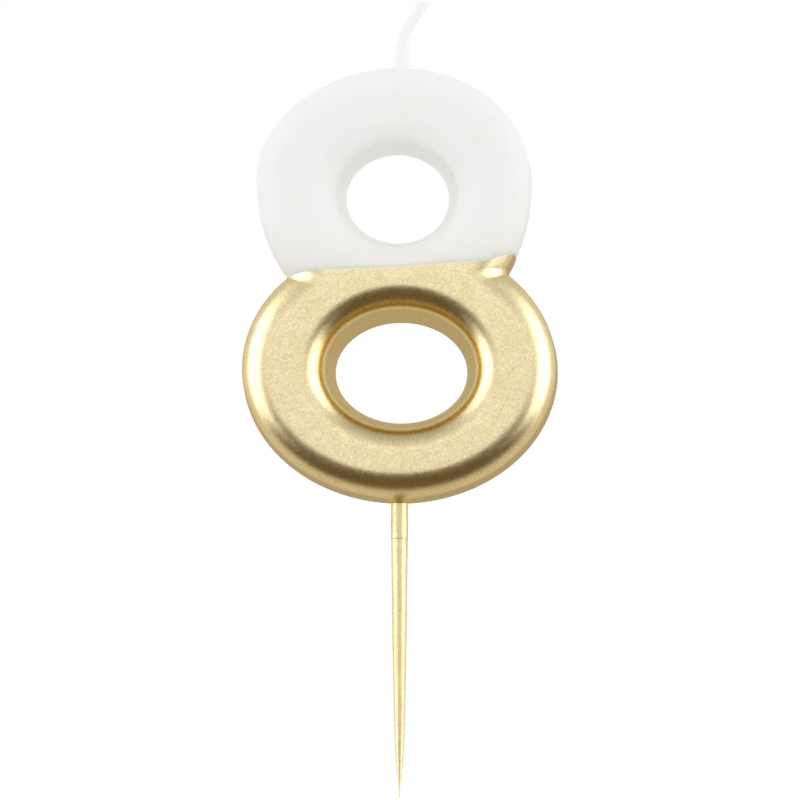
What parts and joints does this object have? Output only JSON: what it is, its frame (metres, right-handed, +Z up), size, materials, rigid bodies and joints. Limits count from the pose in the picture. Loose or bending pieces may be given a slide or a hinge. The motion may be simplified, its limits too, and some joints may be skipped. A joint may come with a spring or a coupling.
{
  "type": "number birthday candle",
  "caption": "Cast wax numeral candle with two oval holes, its lower half lacquered gold, on a thin tapered pick, with a bent braided wick at the crown.",
  "frame": {"origin": "on the pick's axis where it leaves the bottom of the wax, the point that meets the icing", "axes": "+Z up along the pick towards the wick, +X to the viewer's right as the numeral is read, -Y towards the viewer, so the flat cast back faces +Y"},
  "size_m": [0.0382, 0.01, 0.096],
  "materials": {
    "white_wax": "satin",
    "gold_lacquer": "satin",
    "gilded_wood": "satin",
    "waxed_cotton": "matte"
  },
  "bodies": {
    "root": {"wax_body": "white_wax", "gold_dip": "gold_lacquer", "pick": "gilded_wood", "wick_core": "waxed_cotton"},
    "wick_lower": {"wick_stub": "waxed_cotton"},
    "wick_upper": {"wick_tip": "waxed_cotton"}
  },
  "joints": [
    {"name": "wick_root", "type": "hinge", "parent": "root", "child": "wick_lower", "pos_m": [0.00015, 0, 0.0531], "axis": [0, 1, 0], "range_deg": [-60, 45]},
    {"name": "wick_kink", "type": "hinge", "parent": "wick_lower", "child": "wick_upper", "pos_m": [0.0006, 0, 0.0567], "axis": [0, 1, 0], "range_deg": [-75, 30]}
  ]
}
